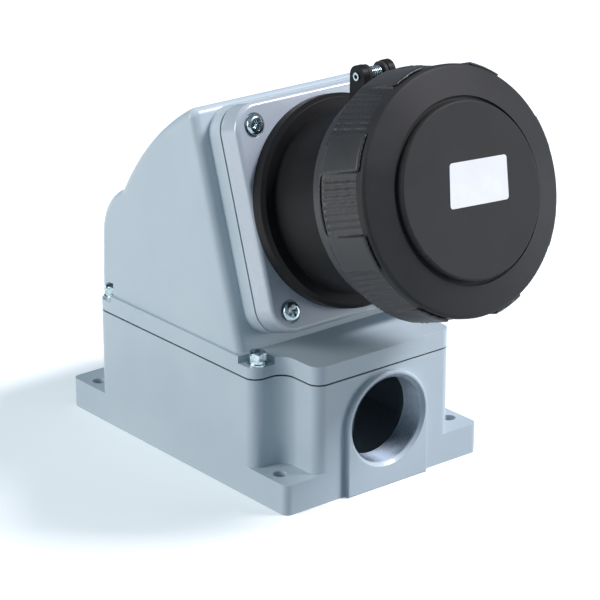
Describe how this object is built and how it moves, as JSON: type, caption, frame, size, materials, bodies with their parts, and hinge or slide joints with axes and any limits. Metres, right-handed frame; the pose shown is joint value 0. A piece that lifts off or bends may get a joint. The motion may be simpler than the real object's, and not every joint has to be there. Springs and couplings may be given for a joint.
{
  "type": "surface-mounted industrial socket",
  "caption": "Round pin-and-sleeve power socket on a cast angled housing for surface mounting, with a spring lid held shut by a bayonet locking ring.",
  "frame": {"origin": "centre of the mounting face", "axes": "+Z away from the mounting surface, -Y to the cable entry and the socket's front, X across"},
  "size_m": [0.126, 0.254, 0.2245],
  "materials": {
    "painted_housing": "satin",
    "black_plastic": "satin",
    "ring_plastic": "satin",
    "carrier_plastic": "matte",
    "zinc_steel": "satin",
    "contact_brass": "satin",
    "seal_rubber": "matte"
  },
  "bodies": {
    "socket": {"base_box": "painted_housing", "base_gasket": "seal_rubber", "cover_housing": "painted_housing", "cover_washers": "zinc_steel", "spring_washers": "zinc_steel", "cover_screws": "zinc_steel", "flange_gasket": "seal_rubber", "socket_flange": "painted_housing", "flange_screws": "zinc_steel", "socket_body": "black_plastic", "contact_carrier": "carrier_plastic", "earth_contact": "contact_brass", "contact_l1": "contact_brass", "contact_l2": "contact_brass", "contact_l3": "contact_brass", "pilot_contact": "contact_brass", "terminal_screws": "zinc_steel", "carrier_screws": "zinc_steel", "hinge_pin": "zinc_steel", "hinge_spring": "zinc_steel", "earth_terminal": "contact_brass", "earth_terminal_screw": "zinc_steel"},
    "lid": {"lid": "black_plastic", "lid_gasket": "seal_rubber"},
    "ring": {"locking_ring": "ring_plastic"}
  },
  "joints": [
    {"name": "lid_swing", "type": "hinge", "parent": "socket", "child": "lid", "pos_m": [0, -0.07922, 0.20995], "axis": [-1, 0, 0], "range_deg": [0, 110], "stiffness_Nm_per_rad": 0.04, "springref_deg": -45.84},
    {"name": "ring_turn", "type": "hinge", "parent": "lid", "child": "ring", "pos_m": [0, -0.0553, 0.1395], "axis": [0, -0.9537, 0.3007], "range_deg": [-45, 0]}
  ]
}
